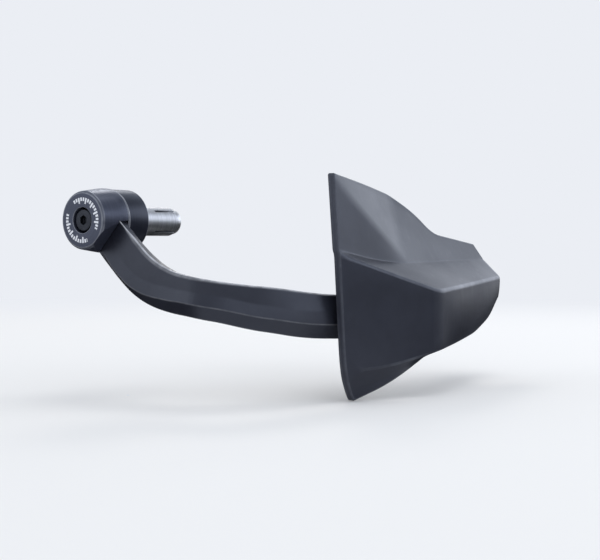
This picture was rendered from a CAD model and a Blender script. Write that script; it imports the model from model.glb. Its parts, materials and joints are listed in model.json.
# %% [markdown]
# # A motorcycle hand guard, dressed for its picture
#
# A turned weight holds a moulded arm, and the arm carries a thin folded shell that keeps wind and
# twigs away. The measured model comes in as a fixed frame. This lesson builds the fine surfaces
# over it as whole numpy arrays, gives them their finishes, and sets up a plain pale studio.

# %% Load the frame
import json
import math

import bmesh
import bpy
import numpy as np
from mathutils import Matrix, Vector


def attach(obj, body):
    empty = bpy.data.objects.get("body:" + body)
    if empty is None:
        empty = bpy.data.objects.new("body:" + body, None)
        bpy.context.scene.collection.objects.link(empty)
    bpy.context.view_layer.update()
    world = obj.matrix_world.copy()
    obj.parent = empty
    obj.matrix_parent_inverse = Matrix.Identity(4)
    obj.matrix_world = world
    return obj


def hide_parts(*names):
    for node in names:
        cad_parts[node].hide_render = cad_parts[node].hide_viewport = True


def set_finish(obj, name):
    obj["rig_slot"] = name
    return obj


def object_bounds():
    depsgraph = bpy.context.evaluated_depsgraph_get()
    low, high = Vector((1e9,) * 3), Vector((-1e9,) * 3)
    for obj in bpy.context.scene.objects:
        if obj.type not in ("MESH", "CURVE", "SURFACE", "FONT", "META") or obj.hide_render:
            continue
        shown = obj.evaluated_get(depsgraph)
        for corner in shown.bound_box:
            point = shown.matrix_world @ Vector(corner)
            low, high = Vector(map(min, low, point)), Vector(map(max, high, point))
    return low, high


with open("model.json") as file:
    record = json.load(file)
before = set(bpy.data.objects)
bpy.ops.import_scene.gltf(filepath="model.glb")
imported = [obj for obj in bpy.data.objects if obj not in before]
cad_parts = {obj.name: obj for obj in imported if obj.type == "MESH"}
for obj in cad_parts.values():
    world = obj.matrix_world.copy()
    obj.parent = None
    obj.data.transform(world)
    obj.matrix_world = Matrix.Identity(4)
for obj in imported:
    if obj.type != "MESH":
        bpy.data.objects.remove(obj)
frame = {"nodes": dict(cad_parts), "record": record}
cad_low, cad_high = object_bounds()
MM = 0.001
print("nodes in the frame:", len(frame["nodes"]))
print("size of the model in mm:", [round(v / MM, 1) for v in (cad_high - cad_low)])

# %% [markdown]
# ## The camera
#
# The camera stands level with the weight, outboard and ahead of it, and has a long lens. The
# columns of its matrix are right, up, backward and its place.

# %% The camera
CAMERA_AT = np.array([504.1, 479.3, -11.2]) * MM
FORWARD = np.array([-0.8186, -0.5732, -0.0349])
LENS_MM = 69.0


def in_scene(name, data):
    """A new object that shows its data in the scene."""
    made = bpy.data.objects.new(name, data)
    bpy.context.scene.collection.objects.link(made)
    return made


def aim(piece, place, forward):
    """Stands a camera or lamp at a place. Its -Z looks along forward and its X stays level."""
    back = -forward / np.linalg.norm(forward)
    right = np.cross([0.0, 0.0, 1.0], back)
    right = right / np.linalg.norm(right)
    matrix = np.eye(4)
    matrix[:3] = np.stack([right, np.cross(back, right), back, place], axis=-1)
    piece.matrix_world = matrix.T.tolist()


camera = in_scene("camera", bpy.data.cameras.new("camera"))
camera.data.lens = LENS_MM
camera.data.sensor_width = 36.0
camera.data.clip_start = 0.01
aim(camera, CAMERA_AT, FORWARD)
bpy.context.scene.camera = camera
bpy.context.scene.view_settings.view_transform = "Standard"
print("camera stands", round(float(np.linalg.norm(CAMERA_AT)), 3), "m from the weight")

# %% [markdown]
# ## Meshes from arrays
#
# Every new piece is a grid of points. Four neighbours make a quad, and a whole block of quads is
# one line of index arithmetic.

# %% Meshes from arrays
SHARP_DEG = 40.0


def quads(rows, columns, first=0, round_rows=False, round_columns=False):
    """Corner numbers of all quads of a grid whose points are numbered row by row from first."""
    j = np.arange(rows if round_rows else rows - 1)
    i = np.arange(columns if round_columns else columns - 1)
    j, i = np.meshgrid(j, i, indexing="ij")
    below = (j + 1) % rows
    beside = (i + 1) % columns
    corners = [j * columns + i, j * columns + beside, below * columns + beside, below * columns + i]
    return first + np.stack(corners, axis=-1).reshape(-1, 4)


def smoothed(mesh, sharp_deg=SHARP_DEG):
    """Shades a mesh smooth, with sharp edges past an angle."""
    mesh.shade_smooth()
    mesh.set_sharp_from_angle(angle=math.radians(sharp_deg))
    return mesh


def mesh_piece(name, points, faces):
    """A smooth mesh object from points in mm."""
    mesh = bpy.data.meshes.new(name)
    mesh.from_pydata((np.asarray(points).reshape(-1, 3) * MM).tolist(), [], faces)
    mesh.validate()
    return in_scene(name, smoothed(mesh))


def finished(piece, body="root", slot=None, stands_for=()):
    """Lets a piece ride on its body, names its finish and the CAD nodes that it stands for."""
    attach(piece, body)
    if slot:
        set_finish(piece, slot)
    if stands_for:
        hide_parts(*stands_for)
    print(f"{piece.name}: {len(piece.data.polygons)} faces")


print("a grid of 3 by 4 points has", len(quads(3, 4)), "quads")

# %% [markdown]
# ## Rounded lines
#
# A moulded edge is never knife sharp. A line through a few corners is rounded by a parabola at
# each corner, and the straight stretches between are cut into equal parts. One function rounds
# the folds of the shell both along and across. A closed loop of corners gets the same parabolas.

# %% Rounded lines
NEARLY_HALF = 0.48


def parabolas(before, corner, after, radii, steps):
    """A parabola p = mix(mix(a, c, t), mix(c, b, t), t) at each corner c, where a and b lie the
    radius, or at most nearly half of the side, before and behind it."""
    radii = radii.reshape(radii.shape + (1,) * (corner.ndim - radii.ndim))
    ends = []
    for way in (before - corner, after - corner):
        length = np.maximum(np.linalg.norm(way, axis=-1, keepdims=True), 1e-9)
        ends.append(corner + way / length * np.minimum(radii, length * NEARLY_HALF))
    a, b = ends
    t = np.reshape(np.linspace(0, 1, steps + 1), (1, -1) + (1,) * (corner.ndim - 1))
    return ((1 - t) ** 2) * a[:, None] + 2 * t * (1 - t) * corner[:, None] + (t ** 2) * b[:, None]


def rounded(line, radii, steps, parts):
    """Points of a line (corners, ..., 3) with parabolas at its corners. The radii are one to a
    corner, or one to a corner of each of many lines side by side."""
    curve = parabolas(line[:-2], line[1:-1], line[2:], np.asarray(radii, float)[1:-1], steps)
    ends = np.concatenate([line[:1], curve[:, -1]])
    starts = np.concatenate([curve[:, 0], line[-1:]])
    u = np.reshape(np.arange(1, parts) / parts, (1, -1) + (1,) * (line.ndim - 1))
    straight = ends[:, None] * (1 - u) + starts[:, None] * u
    blocks = [line[:1], straight[0]]
    for corner, stretch in zip(curve, straight[1:]):
        blocks += [corner, stretch]
    return np.concatenate(blocks + [line[-1:]])


def softened(loop, radii, steps):
    """A closed loop (corners, ..., n) with a parabola at each corner."""
    before, after = np.roll(loop, 1, axis=0), np.roll(loop, -1, axis=0)
    curve = parabolas(before, loop, after, np.broadcast_to(radii, len(loop)), steps)
    return curve.reshape((-1,) + loop.shape[1:])


def unit(v):
    """Vectors of length one."""
    return v / np.linalg.norm(v, axis=-1, keepdims=True)


print("a right angle in 8 steps:", len(rounded(np.eye(3) * 10.0, [0, 3, 0], 8, 2)), "points")

# %% [markdown]
# ## Turned pieces
#
# The loop of a turned piece is half of its cross section, and is carried round the axis. A bore
# needs no cutting then, because the loop simply stays off the axis.

# %% Turned pieces
ON_AXIS = 0.0005


def turned(name, profile, radius=0.3, steps=4, segments=160, origin=(0, 0, 0), along=(1, 0, 0)):
    """A loop of [radius, place on the axis] carried round an axis: p = origin + along * place +
    (e1 * cos(angle) + e2 * sin(angle)) * radius. Its corners are softened first."""
    loop = softened(np.asarray(profile, float), radius, steps)
    along = unit(np.asarray(along, float))
    e1 = unit(np.cross(along, [0.0, 0.0, 1.0]))
    e2 = np.cross(along, e1)
    angle = np.arange(segments) / segments * 2 * np.pi
    ring = np.cos(angle)[:, None] * e1 + np.sin(angle)[:, None] * e2
    points = np.asarray(origin, float) + along * loop[:, None, 1:] + ring[None] * loop[:, None, :1]
    faces = quads(len(loop), segments, round_rows=True, round_columns=True)
    return mesh_piece(name, points, faces.tolist())


print("a piece that closes on its axis leaves", ON_AXIS, "mm open")

# %% [markdown]
# ## Clean skins, rubbed edges and carved holes
#
# Doubled points are welded and all faces are turned outward, so that a piece is one closed skin.
# Edges are rubbed first, so every vertex is told how sharply the skin bends there, and the
# finishes read that number.

# %% Clean skins, rubbed edges and carved holes
WELD_MM = 0.002


def outward_faces(piece):
    """Turns all faces of a closed piece outward, and reports its volume in cubic centimetres."""
    shape = bmesh.new()
    shape.from_mesh(piece.data)
    bmesh.ops.remove_doubles(shape, verts=shape.verts, dist=WELD_MM * MM)
    loose = [edge for edge in shape.edges if edge.is_wire]
    bmesh.ops.delete(shape, geom=loose, context="EDGES")
    bmesh.ops.recalc_face_normals(shape, faces=shape.faces)
    volume = shape.calc_volume(signed=True)
    if volume < 0:
        bmesh.ops.reverse_faces(shape, faces=shape.faces)
    shape.to_mesh(piece.data)
    shape.free()
    print(f"{piece.name}: {abs(volume) * 1e6:.2f} cm3")
    return piece


def tube(name, points):
    """A loop of corners carried along rings, (corners, rings, 3), with one face on each end."""
    corners, rings = points.shape[:2]
    start = np.arange(corners) * rings
    ends = [start.tolist(), (start + rings - 1).tolist()]
    faces = quads(corners, rings, round_rows=True).tolist() + ends
    return outward_faces(mesh_piece(name, points, faces))


def read(items, name, width, kind=float):
    """One property of all faces, edges or vertices as an array."""
    values = np.empty(len(items) * width, dtype=kind)
    items.foreach_get(name, values)
    return values.reshape(-1, width) if width > 1 else values


def mark_edges(piece, largest_mm2, soft_mm, sharp_mm, below=1.0):
    """Gives each vertex the attribute edge. The angle between two neighbouring faces over the
    distance of their centres is one over the radius of the bend: zero past soft_mm and one below
    sharp_mm. Hollow corners and large faces stay zero. Edges that don't face up are multiplied
    by below, because they are rubbed less."""
    mesh = piece.data
    normals = read(mesh.polygons, "normal", 3)
    centres = read(mesh.polygons, "center", 3) / MM
    areas = read(mesh.polygons, "area", 1) / MM ** 2
    face_of = np.repeat(np.arange(len(areas)), read(mesh.polygons, "loop_total", 1, np.int32))
    edge_of = read(mesh.loops, "edge_index", 1, np.int32)
    order = np.argsort(edge_of, kind="stable")
    edges, first, count = np.unique(edge_of[order], return_index=True, return_counts=True)
    first, edges = first[count == 2], edges[count == 2]
    one, two = face_of[order[first]], face_of[order[first + 1]]
    way = centres[two] - centres[one]
    angle = np.arccos(np.clip(np.sum(normals[one] * normals[two], axis=-1), -1, 1))
    bend = angle / np.clip(np.linalg.norm(way, axis=-1), 0.05, 0.8)
    bend[np.sum(normals[one] * way, axis=-1) > 0] = 0.0
    bend[np.maximum(areas[one], areas[two]) > largest_mm2] = 0.0
    value = np.zeros(len(mesh.vertices))
    for end in read(mesh.edges, "vertices", 2, np.int32)[edges].T:
        np.maximum.at(value, end, bend)
    share = np.clip((value - 1 / soft_mm) / (1 / sharp_mm - 1 / soft_mm), 0, 1)
    facing_up = read(mesh.vertex_normals, "vector", 3)[:, 2]
    share *= below + (1 - below) * np.clip((facing_up - 0.1) / 0.5, 0, 1)
    mark = mesh.attributes.new("edge", "FLOAT", "POINT")
    mark.data.foreach_set("value", share.astype(np.float32))
    print(f"{piece.name}: {np.mean(share > 0.3):.0%} of the vertices lie on edges")


def carved(piece, cutters, sharp_deg=SHARP_DEG):
    """Takes the cutters' shapes out of a piece for good, and removes the cutters."""
    for cutter in cutters:
        outward_faces(cutter)
        step = piece.modifiers.new("carve", "BOOLEAN")
        step.operation = "DIFFERENCE"
        step.solver = "EXACT"
        step.object = cutter
    bpy.context.view_layer.update()
    seen = piece.evaluated_get(bpy.context.evaluated_depsgraph_get())
    mesh = bpy.data.meshes.new_from_object(seen)
    piece.modifiers.clear()
    piece.data = smoothed(mesh, sharp_deg)
    for cutter in cutters:
        bpy.data.objects.remove(cutter)
    print(f"{piece.name}: carved {len(cutters)} times")
    return piece


print("points within", WELD_MM, "mm are welded")

# %% [markdown]
# ## The folded shell
#
# The shell is folded like paper: a tall wall at the outer side, a deck, a sharp ridge that runs to
# the nose, a flat front and a narrow panel that turns under. Seven lines from side to side hold
# all of that. They are joined into a net, the net is moved in by the wall for the inner face, and
# both are rounded along and across. A turned-back rim closes the gap between the two faces, so
# the piece is one watertight skin.

# %% The net of the shell
REACH_Y = 136.0
REACH_DROP = 58.0
EDGE_X = 42.5
NOSE_X = 104.0
INNER_X = 230.0
EDGE_BACK = 11.0
NOSE_AHEAD = 20.0
INNER_BACK = 1.0
TIP_H = 84.0
NOSE_H = 16.5
FRONT_H = 35.8
FOOT_DROP = 45.0
RIM_L = 4.5
RIM_T = 2.2
WALL = 3.0
SOFT = 0.9


def on_shell(rows):
    """Rows of distance inward, distance ahead of the arm's face and height above its centre."""
    x, ahead, height = np.asarray(rows, float).T
    return np.stack([-x, REACH_Y + ahead, height - REACH_DROP], axis=-1)


top = on_shell([
    [EDGE_X + 2.6, -EDGE_BACK - 6, TIP_H],
    [EDGE_X + 43, -EDGE_BACK - 11, TIP_H - 4.5],
    [NOSE_X + 16, -26, TIP_H - 9.5],
    [NOSE_X + 42, -23, TIP_H - 20],
    [NOSE_X + 61, -18.5, TIP_H - 34],
    [INNER_X - 35, -18.5, TIP_H - 37.5],
    [INNER_X - 5, -19, TIP_H - 41],
])
outer, nose, inner = on_shell([
    [EDGE_X, -EDGE_BACK, NOSE_H + 22],
    [NOSE_X, NOSE_AHEAD, NOSE_H],
    [INNER_X, -INNER_BACK, NOSE_H + 4.5],
])
share = np.array([[0.25], [0.5], [0.76]])
swell = np.array([[0, 1.2, 0], [0, 1.0, 0], [0, 0.4, 0]])
ridge = np.vstack([outer, (outer + nose) / 2, nose, nose + (inner - nose) * share + swell, inner])
fold_h = NOSE_H + 16.2
crease = np.vstack([ridge[:1] + [0, -1, 2.4], on_shell([
    [NOSE_X - 28, -9, fold_h + 2],
    [NOSE_X + 2, -6, fold_h],
    [NOSE_X + 31, -8, fold_h + 0.2],
    [NOSE_X + 61, -10.5, fold_h + 0.4],
    [INNER_X - 30, -13.5, fold_h + 0.6],
    [INNER_X + 3, -16, fold_h + 0.8],
])])
fold = np.vstack([
    top[0] + (crease[0] - top[0]) * 0.07,
    (top[0] + crease[2]) / 2,
    crease[2:] + (top[2:] - crease[2:]) * 0.09,
])
belly_h = NOSE_H - FRONT_H
belly = on_shell([
    [EDGE_X + 1.4, -EDGE_BACK + 3, FOOT_DROP * -0.62],
    [NOSE_X - 35, 3, belly_h - 7.8],
    [NOSE_X, NOSE_AHEAD, belly_h],
    [NOSE_X + 35, 14.2, belly_h + 2.5],
    [NOSE_X + 69, 8.5, belly_h + 5.8],
    [INNER_X - 25, 3.2, belly_h + 13.8],
    [INNER_X - 4, -0.5, belly_h + 26],
])
under = np.array([0, -4, -0.3])
foot = np.vstack([on_shell([
    [EDGE_X + 9.2, -EDGE_BACK + 1.5, 4.5 - FOOT_DROP],
    [NOSE_X - 30, 2.7, 12 - FOOT_DROP],
]), belly[2:] + under])
lip = np.vstack([on_shell([
    [EDGE_X + 11.7, -EDGE_BACK + 2, -FOOT_DROP],
    [NOSE_X - 28.5, 3.2, 9 - FOOT_DROP],
]), belly[2:] + under * 1.7])
net = np.stack([top, fold, crease, ridge, belly, foot, lip])
print("net of the shell:", net.shape[0], "lines of", net.shape[1], "points")

# %% The inner face of the net


def moved_in(net, wall):
    """The net moved in by the wall. The mean normal m of the patches that meet at a point is
    made longer by 1 / mean(n . m), so that each patch keeps the wall's thickness; at the edge
    the point moves along m + side, the mitre of the front and the rim."""
    rows, columns = net.shape[:2]
    normals = unit(np.cross(net[1:, :-1] - net[:-1, 1:], net[1:, 1:] - net[:-1, :-1]))
    total = np.zeros_like(net)
    count = np.zeros((rows, columns, 1))
    corners = [(slice(a, a + rows - 1), slice(b, b + columns - 1)) for a in (0, 1) for b in (0, 1)]
    for corner in corners:
        total[corner] += normals
        count[corner] += 1
    mean = unit(total)
    facing = np.zeros((rows, columns, 1))
    for corner in corners:
        facing[corner] += np.sum(normals * mean[corner], axis=-1, keepdims=True)
    moved = net - mean * wall * count / facing
    side = np.zeros_like(net)
    side[:, 0] += [1, 0, 0]
    side[:, -1] += [-1, 0, 0]
    side[0] += [0, 0, 1]
    side[-1] += [0, 0, -1]
    edge = np.any(side != 0, axis=-1)
    side[edge] = unit(side[edge])
    along = np.sum(mean[edge] * side[edge], axis=-1, keepdims=True)
    moved[edge] = net[edge] - (mean[edge] + side[edge]) * wall / (1 + along)
    return moved


inner_net = moved_in(net, WALL)
print("points of the inner net:", inner_net.shape[0] * inner_net.shape[1])

# %% [markdown]
# A large moulded panel is never quite flat. Past the nose the front bulges by a small part of its
# height, the crown, which fades in over a few columns and is a parabola across.

# %% The skin of the shell
ACROSS_R = np.array([0, 4, 0.9, 2.0, 1.2, 1.0, 0])
OUTER_R = np.array([0, 4, 1.2, 3, 16, 5, 0])
ALONG_R = np.array([12, 16, 6, 12, 10, 10, 0])
STEPS_ROUND = 8
OUTER_COLUMNS = 9
CROWN = 0.026
CROWN_COLUMNS = 12
FRONT_TOP, FRONT_FOOT, PAST_NOSE = 48, 56, 36


def fine_net(net, size):
    """The net rounded along its lines first and then across them. The folds get wider toward
    the outer edge, where they run out into the soft outline of the shell."""
    lengthwise = rounded(net.transpose(1, 0, 2), ALONG_R, STEPS_ROUND, 10).transpose(1, 0, 2)
    wide = np.clip(1 - np.arange(lengthwise.shape[1]) / OUTER_COLUMNS, 0, 1) ** 2
    across = ACROSS_R[:, None] * (1 - wide) + OUTER_R[:, None] * wide
    return rounded(lengthwise, across * size, STEPS_ROUND, 8)


outer_face = fine_net(net, 1.0)
across = np.linspace(0, 1, FRONT_FOOT - FRONT_TOP + 1)[:, None]
front = outer_face[FRONT_TOP:FRONT_FOOT + 1, PAST_NOSE:]
tall = front[0, :, 2] - front[-1, :, 2]
grown = np.clip(np.arange(front.shape[1]) / CROWN_COLUMNS, 0, 1)
front[..., 1] += CROWN * tall * grown * 4 * across * (1 - across)
inner_face = fine_net(inner_net, 0.6)
shell_rows, shell_columns = outer_face.shape[:2]
cells = shell_rows * shell_columns
number = np.arange(cells).reshape(shell_rows, shell_columns)
around = np.concatenate([number[0], number[1:, -1], number[-1, -2::-1], number[-2:0:-1, 0]])
print("one face of the shell:", shell_rows, "x", shell_columns, "points")

# %% [markdown]
# The rim is a profile carried round the edge: it leaves the front in a small quarter circle,
# runs straight back, turns in and comes back up to the inner face. At each point of the edge,
# outward is square to the run of the edge and lies in the plane of X and Z.

# %% The rim of the shell
edge_points = outer_face.reshape(-1, 3)[around]
run = np.roll(edge_points, -1, axis=0) - np.roll(edge_points, 1, axis=0)
outward = -unit(np.stack([-run[:, 2], np.zeros(len(run)), run[:, 0]], axis=-1))
quarter = np.linspace(0, np.pi / 2, 6)[1:]
over = np.stack([SOFT * np.sin(quarter), SOFT * 1.2 * (1 - np.cos(quarter))], axis=-1)
in_end = SOFT - RIM_T
rim_profile = np.vstack([
    over,
    [SOFT, RIM_L / 2],
    [SOFT, RIM_L - 0.5],
    [SOFT - 0.15, RIM_L - 0.15],
    [SOFT - 0.5, RIM_L],
    [in_end + 0.5, RIM_L],
    [in_end + 0.15, RIM_L - 0.15],
    [in_end, RIM_L - 0.5],
])
rim = (edge_points[None] + outward[None] * rim_profile[:, None, :1]
       + np.array([0.0, -1.0, 0.0]) * rim_profile[:, None, 1:])
loops = np.vstack([
    around[None],
    2 * cells + np.arange(rim.shape[0] * len(around)).reshape(rim.shape[0], -1),
    cells + around[None],
])
beside = np.roll(loops, -1, axis=1)
rim_quads = np.stack([loops[:-1], loops[1:], beside[1:], beside[:-1]], axis=-1).reshape(-1, 4)
outer_quads = quads(shell_rows, shell_columns)
inner_quads = quads(shell_rows, shell_columns, first=cells)[:, ::-1]
shell_points = np.vstack([part.reshape(-1, 3) for part in (outer_face, inner_face, rim)])
shell_faces = np.vstack([outer_quads, inner_quads, rim_quads])
shell_skin = outward_faces(mesh_piece("shell_skin", shell_points, shell_faces.tolist()))
mark_edges(shell_skin, largest_mm2=14, soft_mm=16, sharp_mm=3, below=0.8)
finished(shell_skin, slot="shell_plastic", stands_for=["shell"])

# %% [markdown]
# ## Bosses behind the shell
#
# Three round bosses hold threaded inserts, and thin webs tie them to the front. A boss is turned
# about the screw's axis, and a web is a loop of four corners carried along a short path.

# %% Where the shell screws stand
SCREW_AT = 18.0 + 32.0 * np.arange(3)
BOSS_D = 13.0
PAD_T = 2.0
INSERT_D = 7.4
INSERT_L = 9.0
SCREW_D = 5.0
end_angle = math.atan((NOSE_AHEAD + INNER_BACK) / (INNER_X - NOSE_X))
inboard = np.array([-math.cos(end_angle), -math.sin(end_angle), 0.0])
ahead = np.array([-math.sin(end_angle), math.cos(end_angle), 0.0])
level = np.array([0.0, 0.0, 1.0])
bend = np.array([-NOSE_X, REACH_Y, -REACH_DROP])
screw_from = bend + inboard * SCREW_AT[:, None]
boss_top = NOSE_AHEAD * math.cos(end_angle) - WALL / 2
WEB_T = 2.0
WEB_L = 8.0
WEB_W = BOSS_D + 4


def web(name, start, side, length):
    """A rib with softened edges: a rectangle, WEB_T by WEB_L, carried from start along side."""
    across = np.cross(side, ahead)
    t, foot = WEB_T / 2, boss_top - WEB_L
    loop = softened(np.array([[-t, foot], [t, foot], [t, boss_top], [-t, boss_top]]), 0.4, 4)
    ring = loop[:, :1] * across + loop[:, 1:] * ahead
    at = np.linspace(0, length, 5)[:, None]
    return tube(name, start + ring[:, None] + (at * side)[None])


behind = []
insert_r = INSERT_D / 2 + 0.1
lead_r = SCREW_D / 2 + 0.25
insert_end = PAD_T + INSERT_L
for number, place in enumerate(screw_from):
    boss = turned(f"shell_boss_{number}", [
        [insert_r, PAD_T],
        [BOSS_D / 2, PAD_T],
        [BOSS_D / 2, boss_top - 1.5],
        [BOSS_D / 2 + 1.2, boss_top],
        [ON_AXIS, boss_top],
        [ON_AXIS, insert_end + 1.5],
        [lead_r, insert_end + 1.5],
        [lead_r, insert_end],
        [insert_r, insert_end],
    ], radius=[0.15, 0.4, 1.2, 0.1, 0, 0, 0.1, 0.1, 0.1], segments=72, origin=place, along=ahead)
    behind.append(outward_faces(boss))
    behind.append(web(f"shell_web_{number}", place - level * WEB_W / 2, level, WEB_W))
behind.append(web("shell_web_long", screw_from[0], inboard, SCREW_AT[-1] - SCREW_AT[0]))
for piece in behind:
    finished(piece, slot="shell_plastic")

# %% [markdown]
# ## The arm
#
# The arm starts as a flat tongue in the bar-end weight, drops forward round an elbow, and turns
# inward behind the shell. Its section has two creases on the front and a hollow with cross ribs
# on the back, so that the walls stay thin. It is a loop of fourteen corners whose places change
# slowly with the way along the arm, and the loop is carried along a rounded line.

# %% The line of the arm
SPACER_L = 17.2
CAP_L = 19.5
CAP_D = 37.2
TONGUE_W = 24.0
TONGUE_T = 7.8
TONGUE_DEG = 43.0
ARM_W = 22.6
ARM_CORNER_W = 25.6
ARM_END_W = 23.0
ARM_T = 10.0
ELBOW_Y = 41.0
CORNER_Y = 92.0
CORNER_DROP = 46.0
CHANNEL_L = 5.0
CHANNEL_WALL = 3.4
RIB_PITCH = 18.0
RIB_T = 2.0
RIB_DRAFT = 0.4
TONGUE_X = SPACER_L + TONGUE_T

end_l = SCREW_AT[-1] + 14.0
arm_line = rounded(np.array([
    [TONGUE_X, 0, 0],
    [TONGUE_X, ELBOW_Y, -ELBOW_Y * math.tan(math.radians(TONGUE_DEG))],
    [TONGUE_X - 2, CORNER_Y, -CORNER_DROP],
    bend,
    bend + inboard * end_l,
]), [0, 20, 46, 26, 0], 32, 1)
marks = np.concatenate([[0], np.cumsum(np.linalg.norm(np.diff(arm_line, axis=0), axis=1))])
arm_l = marks[-1]
print("the arm is", round(float(arm_l), 1), "mm long along its line")


def arm_point(s):
    """Points on the arm's line at the lengths s, going straight on before its start."""
    lead = unit(arm_line[1] - arm_line[0])
    on_line = np.stack([np.interp(s, marks, arm_line[:, axis]) for axis in range(3)], axis=-1)
    return on_line + np.minimum(s, 0)[:, None] * lead


# %% [markdown]
# The ribs are not separate walls. The depth of the hollow changes along the arm: it is full in a
# cell, and shallow on a rib. Rings are put exactly where it bends, so that each rib gets straight
# edges. The other sizes change too. The section is deeper at the elbow and just before the
# shell's rim (the belly), its creases wander, and near the rim it leans back and hangs a little
# lower (the sag).

# %% The section along the arm
SAG = 2.4
ELBOW_BELLY = 1.8
RUN_BELLY = 2.2
RING_STEP = 1.5
RIB_EDGE = 0.25
channel_from = 66.0
channel_cells = int((arm_l - end_l - 26 - channel_from) // RIB_PITCH)
channel_to = channel_from + channel_cells * RIB_PITCH
cell_from = channel_from + np.arange(channel_cells) * RIB_PITCH
rib_depth = np.where(np.arange(channel_cells) == 0, 0.0, 1.0)
hollow_at = np.stack([cell_from, cell_from + RIB_T, cell_from + RIB_T + RIB_DRAFT,
                      cell_from + RIB_PITCH - RIB_DRAFT], axis=-1).ravel()
hollow_depth = np.stack([rib_depth, rib_depth, np.full(channel_cells, CHANNEL_L),
                         np.full(channel_cells, CHANNEL_L)], axis=-1).ravel()
hollow_at = np.concatenate([hollow_at, [channel_to]])
hollow_depth = np.concatenate([hollow_depth, [0.0]])
eye = TONGUE_W / 2
eye_turn = np.radians([4, 12, 20, 30, 40, 50, 60, 70, 80, 90])
arm_s = np.concatenate([-eye * np.cos(eye_turn), np.arange(RING_STEP, arm_l - 0.9, RING_STEP),
                        hollow_at, hollow_at - RIB_EDGE, hollow_at + RIB_EDGE,
                        arm_l - np.array([0.8, 0.3, 0.0])])
arm_s = np.unique(np.round(arm_s, 3))
clear = CAP_D / 2 + 4
corner_s = arm_l - end_l


def along_arm(*pairs):
    """A value that changes linearly between [length, value] pairs, at every ring of the arm."""
    at, value = np.asarray(pairs, float).T
    return np.interp(arm_s, at, value)


def eased(value, low, high):
    """Goes from zero to one between two numbers, with a level start and end."""
    t = np.clip((value - low) / (high - low), 0, 1)
    return t * t * (3 - 2 * t)


width = along_arm([60, TONGUE_W], [85, ARM_W], [120, ARM_W], [corner_s - 50, ARM_CORNER_W],
                  [corner_s, ARM_CORNER_W], [corner_s + 12, ARM_END_W])
width = np.where(arm_s < 0, 2 * np.sqrt(np.maximum(eye ** 2 - arm_s ** 2, 0.04)), width)
depth = along_arm([clear, TONGUE_T], [clear * 2, ARM_T])
bevel = along_arm([CAP_D / 2, 0.3], [clear + 6, 1.4], [75, 1.4], [110, 0.75])
relief = along_arm([14, 0], [40, 1], [corner_s - 30, 1], [corner_s + 6, 0.2])
slant = along_arm([0, 0], [CAP_D / 2 - 2, 2.2], [75, 1.8], [110, 0.6])
near_rim = along_arm([corner_s - 115, 0], [corner_s - 80, 1], [corner_s - 40, 1],
                     [corner_s - 10, 0])
upper = along_arm([28, 0.56], [44, 0.53], [52, 0.48], [64, 0.41], [90, 0.365])
lower = along_arm([28, 0.9], [35, 0.865], [44, 0.83], [52, 0.79], [64, 0.71], [77, 0.665])
belly = (ELBOW_BELLY * eased(arm_s, 8, 34) * (1 - eased(arm_s, 40, 72))
         + RUN_BELLY * eased(arm_s, 98, 128) * (1 - eased(arm_s, 142, 190)))
end_round = along_arm([arm_l - 0.8, 0], [arm_l - 0.3, 0.25], [arm_l, 0.8])
hollow = np.interp(arm_s, hollow_at, hollow_depth, left=0.0, right=0.0)
print("rings:", len(arm_s), "with", channel_cells, "cells in the hollow")

# %% [markdown]
# Each pair is one corner of the loop, its distance out from the arm's line and its height. The
# first six lie on the front, from the top bevel over the two creases to the lower bevel. Then
# come the back's lower wall, the hollow and the upper wall. The loop stands square to the way of
# the arm, with the direction out kept level.

# %% The arm as one skin
half = width / 2 - end_round
low = -half - belly
back_high = half - slant
back_low = -back_high - belly
foot_in = 0.06 * hollow
wall_in = np.minimum(CHANNEL_WALL, back_high * 0.8)
section = np.stack([np.stack(pair, axis=-1) for pair in [
    (-bevel - end_round, half),
    (-end_round, half - bevel),
    ((0.2 + 2.1 * near_rim) * relief - end_round, half - width * upper - belly),
    ((1.8 + 1.5 * near_rim) * relief - end_round, half - width * lower - belly),
    (-1.4 * relief - end_round, low + bevel / 2),
    (-1.4 * relief - bevel / 2 - end_round, low),
    (-depth + bevel / 2, back_low),
    (-depth, back_low + bevel / 2),
    (-depth, back_low + wall_in),
    (-depth + hollow, back_low + wall_in + foot_in),
    (-depth + hollow, back_high - wall_in - foot_in),
    (-depth, back_high - wall_in),
    (-depth, back_high - bevel / 2),
    (-depth + bevel / 2, back_high),
]])
CORNER_R = [0.95, 0.95, 0.7, 0.6, 0.7, 0.7, 0.5, 0.5, 0.35, 0.8, 0.8, 0.35, 0.5, 0.5]
section = softened(section, CORNER_R, 4)
next_s = np.minimum(arm_s + 2, arm_l)
way = unit(arm_point(next_s) - arm_point(next_s - 4))
out = unit(np.stack([way[:, 1], -way[:, 0], np.zeros(len(way))], axis=-1))
rise = np.cross(out, way)
inward = -arm_point(arm_s)[:, :1]
sag = SAG * eased(inward, 0, 45) * (1 - eased(inward, 50, 95))
arm_points = arm_point(arm_s) - sag * rise + section[..., :1] * out + section[..., 1:] * rise
arm_skin = tube("arm_skin", arm_points)

# %% [markdown]
# Real holes are cut last: the eye for the metal bush, and three stepped holes for the screws.

# %% The holes of the arm
BUSH_D = 13.0
WASHER_D = 11.0
SEAT_Z = -5.4


def rod(name, diameter, low, high, origin=(0, 0, 0), along=(1, 0, 0), segments=96):
    """A plain round cutter between two places on an axis."""
    loop = [[ON_AXIS, low], [diameter / 2, low], [diameter / 2, high], [ON_AXIS, high]]
    return turned(name, loop, radius=0, steps=1, segments=segments, origin=origin, along=along)


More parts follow.
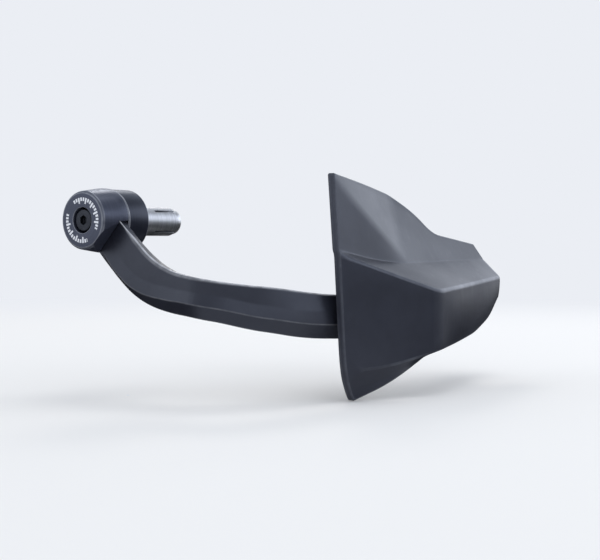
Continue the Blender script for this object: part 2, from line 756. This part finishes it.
cutters = [rod("cut_eye", BUSH_D + 0.2, SPACER_L - 1, TONGUE_X + 1)]
for number, place in enumerate(screw_from):
    cutters.append(rod(f"cut_hole_{number}", SCREW_D + 0.5, SEAT_Z - 1, 1, place, ahead))
    cutters.append(rod(f"cut_sink_{number}", WASHER_D + 1, -ARM_T - 1, SEAT_Z, place, ahead))
mark_edges(carved(arm_skin, cutters), largest_mm2=3, soft_mm=5, sharp_mm=1.6, below=0.17)
finished(arm_skin, slot="arm_plastic", stands_for=["arm"])

# %% [markdown]
# ## The bar-end weight
#
# Cap and spacer are turned about the X axis. The cap tapers to a flat face with a bevel, and a
# pocket is milled into its back for the arm's tongue, with a flat above it that leans out to the
# edge of the face. The slot goes a little deeper than the tongue, by the joint gap, which leaves
# the fine dark line of a real joint. The band of the cap swells by a hair, so that it mirrors a
# soft line.

# %% The cap
CAP_FACE_D = 31.7
FACE_BEVEL = 1.0
CAP_BAND_L = 5.0
RECESS_D = 14.8
RECESS_L = 6.0
TURNED_BEVEL = 0.7
HOLE_D = 8.5
JOINT_GAP = 0.7
SWELL = 0.15
PLUG_D = 17.6
SPIGOT_D = 14.6
cap_x = SPACER_L + CAP_L
seat_x = cap_x - RECESS_L
cap_r = CAP_D / 2
face_r = CAP_FACE_D / 2
flat_h = cap_r * 0.77
pocket_w = TONGUE_W + 0.6
tongue_turn = math.radians(TONGUE_DEG)


def block(name, low, high, turn_x=0.0, lean_z=0.0, pivot=(0, 0, 0)):
    """A box cutter between two corners, leaned about Z at a pivot and then turned about X."""
    pick = np.array([[i, j, k] for i in (0, 1) for j in (0, 1) for k in (0, 1)])
    points = np.where(pick == 0, low, high).astype(float)
    c, s = math.cos(lean_z), math.sin(lean_z)
    points = points @ np.array([[c, s, 0], [-s, c, 0], [0, 0, 1]]) + pivot
    c, s = math.cos(turn_x), math.sin(turn_x)
    points = points @ np.array([[1, 0, 0], [0, c, s], [0, -s, c]])
    faces = [[0, 1, 3, 2], [4, 6, 7, 5], [0, 4, 5, 1], [2, 3, 7, 6], [0, 2, 6, 4], [1, 5, 7, 3]]
    return mesh_piece(name, points, faces)


cap = turned("bar_end_cap_turned", [
    [HOLE_D / 2, SPACER_L],
    [cap_r - TURNED_BEVEL, SPACER_L],
    [cap_r + SWELL, SPACER_L + TURNED_BEVEL],
    [cap_r + SWELL, SPACER_L + CAP_BAND_L],
    [face_r + FACE_BEVEL, cap_x - FACE_BEVEL],
    [face_r, cap_x],
    [RECESS_D / 2 + 0.3, cap_x],
    [RECESS_D / 2, cap_x - 0.3],
    [RECESS_D / 2, seat_x],
    [HOLE_D / 2, seat_x],
], radius=[0.1, 0.15, 0.3, 2.0, 0.65, 0.65, 0.1, 0.1, 0.3, 0.1], segments=192)
lean = math.atan((face_r - flat_h) / (cap_x - TONGUE_X))
carved(cap, [
    rod("cut_pocket", pocket_w, SPACER_L - 1, TONGUE_X, segments=192),
    block("cut_slot", [SPACER_L - 1, 0, -pocket_w / 2], [TONGUE_X + JOINT_GAP, CAP_D, pocket_w / 2],
          turn_x=-tongue_turn),
    block("cut_flat", [-CAP_L / 2, 0, -CAP_D / 2], [CAP_L * 1.5, CAP_D, CAP_D / 2],
          turn_x=-tongue_turn, lean_z=lean, pivot=(TONGUE_X, flat_h, 0)),
], sharp_deg=20)
print("cap and pocket:", len(cap.data.polygons), "faces")

# %% The spacer
spacer_r = (CAP_D - 0.4) / 2
spacer = turned("bar_end_spacer_turned", [
    [PLUG_D / 2 + 0.1, 0],
    [spacer_r - TURNED_BEVEL, 0],
    [spacer_r, TURNED_BEVEL],
    [spacer_r, SPACER_L - TURNED_BEVEL],
    [spacer_r - TURNED_BEVEL, SPACER_L],
    [HOLE_D / 2, SPACER_L],
    [HOLE_D / 2, 4.0],
    [SPIGOT_D / 2 + 0.1, 4.0],
    [SPIGOT_D / 2 + 0.1, 0.5],
    [PLUG_D / 2 + 0.1, 0.5],
], radius=[0.05, 0.45, 0.45, 0.45, 0.45, 0.1, 0.1, 0.1, 0.05, 0.05], segments=192)
for piece, node in ((cap, "bar_end_cap"), (spacer, "bar_end_spacer")):
    mark_edges(outward_faces(piece), largest_mm2=1.2, soft_mm=4, sharp_mm=1.3)
    finished(piece, slot="black_anodised", stands_for=[node])

# %% [markdown]
# ## Screws, bush, sleeve, nut, washers, inserts and pads
#
# The small pieces already have the right shape in the measured model. A copy of each is welded
# and gets a tiny bevel, so that its edges catch the light.

# %% Finely edged copies of the small pieces
EDGE_MM = {"shell_pad": 0.35, "shell_washer": 0.12, "expander_sleeve": 0.15}
OTHER_EDGE_MM = 0.2
EDGE_DEG = 35.0


def edged_copy(node, slot, bevel_mm):
    """A welded copy of a CAD node with bevelled edges, which stands for that node."""
    copy = outward_faces(in_scene(node + "_edged", frame["nodes"][node].data.copy()))
    shape = bmesh.new()
    shape.from_mesh(copy.data)
    bmesh.ops.dissolve_limit(shape, angle_limit=math.radians(0.5), verts=shape.verts,
                             edges=shape.edges)
    shape.to_mesh(copy.data)
    shape.free()
    bevel = copy.modifiers.new("edges", "BEVEL")
    bevel.width = bevel_mm * MM
    bevel.segments = 2
    bevel.limit_method = "ANGLE"
    bevel.angle_limit = math.radians(EDGE_DEG)
    smoothed(copy.data, EDGE_DEG)
    finished(copy, slot=slot, stands_for=[node])


slot_of = {part["node"]: part["material_slot"] for part in frame["record"]["subparts"]}
small = [node for node in sorted(frame["nodes"])
         if node not in ("shell", "arm", "bar_end_cap", "bar_end_spacer")]
for node in small:
    kind = node.rsplit("_", 1)[0] if node.startswith("shell_") else node
    edged_copy(node, slot_of[node], EDGE_MM.get(kind, OTHER_EDGE_MM))
print("small pieces:", len(small))

# %% [markdown]
# ## Building blocks for the finishes
#
# A finish is made of nodes. Effects that several finishes share are node groups, which take a
# place on the object and give back values and masks.

# %% Helpers for nodes


def add(tree, kind, values=None, **options):
    """A node of a kind in a tree, with its options and with numbers or links on its inputs."""
    made = tree.nodes.new(kind)
    for name, value in options.items():
        setattr(made, name, value)
    for socket, value in (values or {}).items():
        if isinstance(value, bpy.types.NodeSocket):
            tree.links.new(value, made.inputs[socket])
        else:
            made.inputs[socket].default_value = value
    return made


def maths(tree, operation, *values):
    """The output of a Math node."""
    return add(tree, "ShaderNodeMath", dict(enumerate(values)), operation=operation).outputs[0]


def times(tree, a, b):
    """The output of nodes for a * b."""
    return maths(tree, "MULTIPLY", a, b)


def times_plus(tree, a, b, c):
    """The output of nodes for a * b + c."""
    return maths(tree, "MULTIPLY_ADD", a, b, c)


def root_of_squares(tree, a, b):
    """The output of nodes for the root of a * a + b * b."""
    return maths(tree, "SQRT", times_plus(tree, a, a, times(tree, b, b)))


def noise(tree, place, scale, detail, rough):
    """The grey value of a noise texture with so many features to the metre."""
    values = {"Vector": place, "Scale": scale, "Detail": detail, "Roughness": rough}
    return add(tree, "ShaderNodeTexNoise", values).outputs["Fac"]


def ranged(tree, value, low, high, to_low=0.0, to_high=1.0):
    """A value stretched smoothly from one range to another."""
    values = {"Value": value, "From Min": low, "From Max": high, "To Min": to_low, "To Max": to_high}
    return add(tree, "ShaderNodeMapRange", values, interpolation_type="SMOOTHSTEP").outputs[0]


def group(name, inputs, outputs):
    """A new node group, with its own input and output nodes."""
    tree = bpy.data.node_groups.new(name, "ShaderNodeTree")
    for socket, kind, value in inputs:
        made = tree.interface.new_socket(socket, in_out="INPUT", socket_type=kind)
        if value is not None:
            made.default_value = value
    for socket in outputs:
        tree.interface.new_socket(socket, in_out="OUTPUT", socket_type="NodeSocketFloat")
    print("node group:", name)
    return tree, tree.nodes.new("NodeGroupInput").outputs, tree.nodes.new("NodeGroupOutput").inputs


PLACE = ("Place", "NodeSocketVector", None)
FINENESS = ("Fineness", "NodeSocketFloat", 1.0)
print("inputs of the groups:", PLACE[0], "and", FINENESS[0])

# %% [markdown]
# **Moulded grain.** The mould of such a part is spark eroded, which leaves a fine pebbled grain,
# a third of a millimetre across. Smooth cells give the pebbles, and a slower noise makes some
# patches of the grain deeper than others.

# %% Moulded grain
grain, given, result = group("moulded_grain", [PLACE, FINENESS], ["Height", "Tone"])
pebbles = add(grain, "ShaderNodeTexVoronoi", {"Vector": given["Place"], "Scale": given["Fineness"]},
              feature="SMOOTH_F1").outputs["Distance"]
patches = ranged(grain, noise(grain, given["Place"], 60.0, 4.0, 0.6), 0.3, 0.7)
height = times(grain, pebbles, times_plus(grain, patches, 0.4, 0.6))
grain.links.new(height, result["Height"])
grain.links.new(patches, result["Tone"])

# %% [markdown]
# **Handling.** Use and rain leave broad dull and shiny areas with a few finer streaks that run
# down. They change the roughness and not the colour.

# %% Handling
handling, given, result = group("handling", [PLACE], ["Dull", "Streaks"])
broad = noise(handling, given["Place"], 14.0, 3.0, 0.55)
handling.links.new(ranged(handling, broad, 0.35, 0.68), result["Dull"])
drawn = add(handling, "ShaderNodeMapping", {"Vector": given["Place"], "Scale": (90.0, 90.0, 12.0)})
streaks = noise(handling, drawn.outputs[0], 3.0, 5.0, 0.65)
handling.links.new(ranged(handling, streaks, 0.52, 0.75), result["Streaks"])

# %% [markdown]
# **Edge polish.** The attribute named edge is one in the middle of a rounded edge and zero on flat
# ground. The group breaks it up with noise, so that the polish is not an even line.

# %% Edge polish
polish, given, result = group("edge_polish", [PLACE, ("Amount", "NodeSocketFloat", 1.0)], ["Mask"])
on_edge = add(polish, "ShaderNodeAttribute", attribute_name="edge").outputs["Fac"]
uneven = ranged(polish, noise(polish, given["Place"], 160.0, 5.0, 0.6), 0.3, 0.65, 0.55, 1.0)
mask = times(polish, times(polish, on_edge, uneven), given["Amount"])
mask.node.use_clamp = True
polish.links.new(mask, result["Mask"])

# %% [markdown]
# **Lathe marks.** A turning tool leaves fine rings about the axis. Noise that changes with the
# distance along the axis and from it draws them on sides and faces alike.

# %% Lathe marks
lathe, given, result = group("lathe_marks", [PLACE, FINENESS], ["Height", "Tone"])
split = add(lathe, "ShaderNodeSeparateXYZ", {0: given["Place"]}).outputs
way = maths(lathe, "ADD", split["X"], root_of_squares(lathe, split["Y"], split["Z"]))
fine, slow = [add(lathe, "ShaderNodeTexNoise", {"W": way, "Scale": scale, "Detail": detail},
                  noise_dimensions="1D").outputs["Fac"]
              for scale, detail in [(given["Fineness"], 2.0), (900.0, 3.0)]]
lathe.links.new(fine, result["Height"])
lathe.links.new(ranged(lathe, slow, 0.35, 0.65), result["Tone"])

# %% [markdown]
# ## The finishes
#
# Every finish is made the same way. A texture group gives a bump and a pattern that mixes the
# first two of three colours. The third shows on rubbed edges. The roughness starts from a level,
# and a table says how much each mask adds to it. Even values are set on the shader's sockets.

# %% One way to make a finish
FINISHES = {}


def placed_group(tree, tree_name, place, **values):
    """The outputs of a node group in a material's tree."""
    values["Place"] = place
    return add(tree, "ShaderNodeGroup", values, node_tree=bpy.data.node_groups[tree_name]).outputs


def blended(tree, factor, low, high):
    """A colour between two colours."""
    return add(tree, "ShaderNodeMix", {0: factor, 6: low, 7: high}, data_type="RGBA").outputs[2]


def material(name):
    """A new material and its tree."""
    made = bpy.data.materials.new(name)
    made.use_nodes = True
    return made, made.node_tree


def finish(name, texture, fineness, colours, rough, changes, depth_mm, rubbed=0.5, **even):
    """A new material, kept by its name. Gives its tree, shader, place on the object and colour."""
    FINISHES[name], tree = material(name)
    shader = tree.nodes["Principled BSDF"]
    for socket, value in even.items():
        shader.inputs[socket.replace("_", " ")].default_value = value
    place = tree.nodes.new("ShaderNodeTexCoord").outputs["Object"]
    pattern = placed_group(tree, texture, place, Fineness=fineness)
    worn = placed_group(tree, "edge_polish", place, Amount=rubbed)
    use = placed_group(tree, "handling", place)
    masks = {"Tone": pattern["Tone"], "Worn": worn["Mask"], "Dull": use["Dull"],
             "Streaks": use["Streaks"]}
    dark, light, bare = [(*colour, 1.0) for colour in colours]
    colour = blended(tree, masks["Worn"], blended(tree, masks["Tone"], dark, light), bare)
    tree.links.new(colour, shader.inputs["Base Color"])
    for mask, change in changes.items():
        rough = times_plus(tree, masks[mask], change, rough)
    tree.links.new(rough, shader.inputs["Roughness"])
    bump = add(tree, "ShaderNodeBump", {"Height": pattern["Height"], "Distance": depth_mm * MM,
                                        "Strength": 1.0})
    tree.links.new(bump.outputs[0], shader.inputs["Normal"])
    print("finish:", name)
    return tree, shader, place, colour


print("node groups for the finishes:", len(bpy.data.node_groups))

# %% [markdown]
# **Moulded plastics and rubber.** Shell and arm are a tough black polymer with a blue tinge in what
# it mirrors. Its rubbed folds are lighter and shinier. The pads under the shell are dull black
# rubber with a finer grain and no polish.

# %% Moulded plastics and rubber
BLUE_TINT = (0.78, 0.84, 1.0, 1.0)
PLASTIC = {"Dull": 0.09, "Streaks": -0.05, "Worn": -0.1}
finish("shell_plastic", "moulded_grain", 2600.0,
       [(0.0085, 0.0092, 0.0155), (0.012, 0.013, 0.021), (0.075, 0.079, 0.094)],
       0.38, PLASTIC, 0.020, 0.75, Specular_IOR_Level=0.5, Specular_Tint=BLUE_TINT)
finish("arm_plastic", "moulded_grain", 2000.0,
       [(0.012, 0.0128, 0.020), (0.017, 0.0182, 0.026), (0.46, 0.465, 0.485)],
       0.38, PLASTIC, 0.028, 1.0, Specular_IOR_Level=0.5, Specular_Tint=BLUE_TINT)
finish("rubber", "moulded_grain", 3500.0,
       [(0.010, 0.010, 0.011), (0.018, 0.018, 0.019), (0.018, 0.018, 0.019)],
       0.72, {"Dull": 0.1}, 0.03, 0.0, Specular_IOR_Level=0.4)

# %% [markdown]
# **Turned metals.** Black anodised aluminium keeps the metal's own sheen under a thin dark film.
# The screws have a black oxide, the small washers are zinc plated, the hidden plug is bare
# aluminium and the inserts are brass. The cap gets a lighter finish of its own, whose face will
# be painted.

# %% Turned metals
BLUISH = (0.82, 0.88, 1.0, 1.0)
METAL = {"Dull": 0.08, "Tone": 0.05}
finish("black_anodised", "lathe_marks", 9000.0,
       [(0.018, 0.020, 0.031), (0.022, 0.0245, 0.037), (0.30, 0.31, 0.34)],
       0.30, METAL, 0.0015, 0.9, Metallic=0.4, Specular_Tint=BLUISH)
finish("black_steel", "lathe_marks", 7000.0,
       [(0.018, 0.019, 0.024), (0.027, 0.029, 0.036), (0.22, 0.23, 0.25)],
       0.34, METAL, 0.003, Metallic=0.7, Specular_Tint=BLUISH)
finish("bright_steel", "lathe_marks", 6000.0,
       [(0.50, 0.51, 0.53), (0.62, 0.63, 0.64), (0.75, 0.75, 0.75)],
       0.30, METAL, 0.004, Metallic=1.0)
finish("raw_aluminium", "lathe_marks", 4000.0,
       [(0.38, 0.39, 0.41), (0.50, 0.51, 0.54), (0.70, 0.70, 0.72)],
       0.36, METAL, 0.006, Metallic=1.0)
finish("brass", "lathe_marks", 6000.0,
       [(0.60, 0.42, 0.16), (0.74, 0.55, 0.25), (0.85, 0.68, 0.36)],
       0.28, METAL, 0.004, Metallic=1.0)
tree, shader, place, colour = finish(
    "black_anodised_ring", "lathe_marks", 9000.0,
    [(0.037, 0.041, 0.062), (0.042, 0.047, 0.070), (0.26, 0.27, 0.30)],
    0.30, METAL, 0.0015, 0.9, Specular_Tint=BLUISH)

# %% [markdown]
# **Index ring.** The flat face of the cap carries plain white strokes in two arcs. The angle round
# the axis is cut into equal steps, and a stroke is kept where the step, the arc and the distance
# from the axis all agree.

# %% Index ring
split = add(tree, "ShaderNodeSeparateXYZ", {0: place}).outputs
across = root_of_squares(tree, split["Y"], split["Z"])
angle = maths(tree, "ARCTAN2", split["Z"], split["Y"])


def between(value, low, high):
    """One where a value lies between two numbers, else zero."""
    return times(tree, maths(tree, "GREATER_THAN", value, low), maths(tree, "LESS_THAN", value, high))


STEPS = 40
STROKE_SHARE = 0.66
LONG_FROM, SHORT_FROM, STROKES_TO = 9.6 * MM, 11.0 * MM, 13.0 * MM
FACE_ONLY = (cap_x - 0.15) * MM
turns = times_plus(tree, angle, STEPS / (2 * math.pi), 100.0)
every_third = maths(tree, "FRACT", maths(tree, "DIVIDE", turns, 3.0))
short_stroke = maths(tree, "GREATER_THAN", every_third, 1 / 3)
inner_end = times_plus(tree, short_stroke, SHORT_FROM - LONG_FROM, LONG_FROM)
arcs = maths(tree, "ADD", between(angle, -0.44, 2.18), between(angle, -4.0, -1.22))
arcs = maths(tree, "ADD", arcs, maths(tree, "GREATER_THAN", angle, 2.84))
strokes = between(maths(tree, "FRACT", turns), 0.0, STROKE_SHARE)
strokes = times(tree, strokes, between(across, inner_end, STROKES_TO))
strokes = times(tree, strokes, maths(tree, "MINIMUM", arcs, 1.0))
strokes = times(tree, strokes, maths(tree, "GREATER_THAN", split["X"], FACE_ONLY))
painted = blended(tree, strokes, colour, (0.80, 0.81, 0.84, 1))
tree.links.new(painted, shader.inputs["Base Color"])
tree.links.new(times_plus(tree, strokes, -0.4, 0.4), shader.inputs["Metallic"])
print("strokes:", STEPS, "to a full turn")

# %% [markdown]
# Each piece asks for its finish by the name of its slot, and so do the frame's hidden solids.

# %% Each piece gets its finish
for piece in [o for o in bpy.context.scene.objects if o.type == "MESH" and "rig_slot" in o]:
    piece.data.materials.clear()
    piece.data.materials.append(FINISHES[piece["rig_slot"]])
cap.data.materials[0] = FINISHES["black_anodised_ring"]
for node, cad_piece in frame["nodes"].items():
    for spot in cad_piece.material_slots:
        spot.material = FINISHES[slot_of[node]]
print("finishes:", sorted(FINISHES))

# %% [markdown]
# ## The studio
#
# A pale bowl is the floor and all the walls at once: a flat disc whose edge swings up in a big
# curve, so no view shows a horizon. Near the guard it takes its shadow, and further out it turns
# into a plain glow of the same pale colour, so that the background stays even.

# %% The bowl
FLOOR_GAP = 0.0005
PALE = (0.831, 0.855, 0.905, 1.0)
FLOOR_TONE = (0.86, 0.84, 0.81, 1.0)
BOWL_SIDES = 128
bowl_r = 3.0
rise_r = 1.2
floor_z = float(cad_low[2]) - FLOOR_GAP
swing = np.linspace(0, np.pi / 2, 24)
bowl_profile = np.vstack([
    np.stack([np.linspace(0.001, bowl_r, 12), np.zeros(12)], axis=-1),
    np.stack([bowl_r + rise_r * np.sin(swing[1:]), rise_r * (1 - np.cos(swing[1:]))], axis=-1),
    [[bowl_r + rise_r, rise_r + 1.0]],
])
turn = np.arange(BOWL_SIDES) / BOWL_SIDES * 2 * np.pi
bowl_points = np.stack([
    bowl_profile[:, :1] * np.cos(turn),
    bowl_profile[:, :1] * np.sin(turn),
    floor_z + np.repeat(bowl_profile[:, 1:], len(turn), axis=1),
], axis=-1)
bowl = mesh_piece("studio_bowl", bowl_points / MM,
                  quads(len(bowl_profile), len(turn), round_columns=True).tolist())

paper, tree = material("studio_paper")
tree.nodes.clear()
place = tree.nodes.new("ShaderNodeTexCoord").outputs["Object"]
split = add(tree, "ShaderNodeSeparateXYZ", {0: place}).outputs
from_middle = root_of_squares(tree, maths(tree, "ADD", split["X"], 0.1), split["Y"])
fade = ranged(tree, from_middle, 0.45, 1.1)
floor_part = add(tree, "ShaderNodeBsdfDiffuse", {"Color": FLOOR_TONE}).outputs[0]
ray = add(tree, "ShaderNodeLightPath").outputs
seen = maths(tree, "MAXIMUM", ray["Is Camera Ray"], ray["Is Glossy Ray"])
seen = maths(tree, "MAXIMUM", seen, ray["Is Transmission Ray"])
glow = times_plus(tree, seen, 0.45, 0.55)
glow_part = add(tree, "ShaderNodeEmission", {"Color": PALE, "Strength": glow}).outputs[0]
mixed = add(tree, "ShaderNodeMixShader", {0: fade, 1: floor_part, 2: glow_part}).outputs[0]
add(tree, "ShaderNodeOutputMaterial", {"Surface": mixed})
bowl.data.materials.append(paper)
print("floor at", round(floor_z / MM, 1), "mm")

# %% [markdown]
# The lamps are large and soft, and each looks at the middle of the guard. A row of the table is a
# place, the two sides, the power and the colour. The biggest lamp stands inboard and high: from
# the camera, the deck and the front of the shell mirror that side, while the outer panel mirrors
# the empty side ahead and stays dark. That difference makes the folds readable. Each smaller lamp
# stands where one face mirrors it.

# %% The lamps
MIDDLE = np.array([-0.1, 0.07, -0.03])
LAMPS = {
    "lamp_sky": [(-2.1, 0.8, 0.70), (2.7, 1.2), 14.5, (0.80, 0.87, 1.0)],
    "lamp_high": [(-1.8, -1.5, 1.95), (0.8, 0.6), 11, (1.0, 0.96, 0.91)],
    "lamp_ahead": [(0.9, 2.3, 1.1), (1.8, 1.3), 7.5, (0.86, 0.91, 1.0)],
    "lamp_nose": [(-0.75, 2.1, 0.85), (0.9, 0.7), 5.5, (0.82, 0.88, 1.0)],
    "lamp_edge": [(-2.1, -1.1, 0.75), (0.8, 0.6), 2.0, (1.0, 0.97, 0.94)],
    "lamp_side": [(1.6, -1.4, 0.15), (1.4, 0.6), 2.5, (0.86, 0.91, 1.0)],
    "lamp_elbow": [(1.7, -1.1, 0.8), (1.2, 0.5), 3.8, (0.9, 0.94, 1.0)],
    "lamp_top": [(-0.45, 0.35, 2.2), (1.4, 1.4), 13, (1.0, 1.0, 1.0)],
}
for name, (place, sides, watts, colour) in LAMPS.items():
    lamp = in_scene(name, bpy.data.lights.new(name, "AREA"))
    lamp.data.shape = "RECTANGLE"
    lamp.data.size, lamp.data.size_y = sides
    lamp.data.energy = watts
    lamp.data.color = colour
    lamp.visible_camera = False
    aim(lamp, place, MIDDLE - place)
    print(f"{name}: {watts} W")

# %% [markdown]
# Black cards do the opposite of a lamp. Only mirrors see them, so they darken what the undersides
# of the nose and the elbow show and cast no shadow. The air itself gives an even, slightly blue
# light from all sides.

# %% The cards and the air
CARD_Z = -0.095
black, tree = material("studio_black")
sockets = tree.nodes["Principled BSDF"].inputs
sockets["Base Color"].default_value = (0, 0, 0, 1)
sockets["Specular IOR Level"].default_value = 0.0


def card(name, corners):
    """A black card that only mirrors show."""
    piece = mesh_piece(name, np.array(corners) / MM, [[0, 1, 2, 3]])
    for ray in ("camera", "shadow", "diffuse", "transmission"):
        setattr(piece, "visible_" + ray, False)
    piece.data.materials.append(black)
    print(name)


def flat(x0, x1, y0, y1):
    """The corners of a card that lies over the floor."""
    return [(x0, y0, CARD_Z), (x1, y0, CARD_Z), (x1, y1, CARD_Z), (x0, y1, CARD_Z)]


card("card_low", flat(-1.1, -0.1, 0.0, 0.7))
card("card_elbow", flat(-0.2, 0.2, -0.4, 0.05))
card("card_high", [(-0.73, 0.05, 0.5), (-0.73, 0.4, 0.5), (-0.73, 0.4, 0.85), (-0.73, 0.05, 0.85)])
card("card_ahead", flat(-0.9, 0.6, 0.3, 2.0))
world = bpy.data.worlds.new("studio_air")
bpy.context.scene.world = world
world.use_nodes = True
air = world.node_tree.nodes["Background"].inputs
air["Color"].default_value = (0.82, 0.89, 1.0, 1.0)
air["Strength"].default_value = 0.75
print("lamps:", len(bpy.data.lights), "strength of the air:", air["Strength"].default_value)
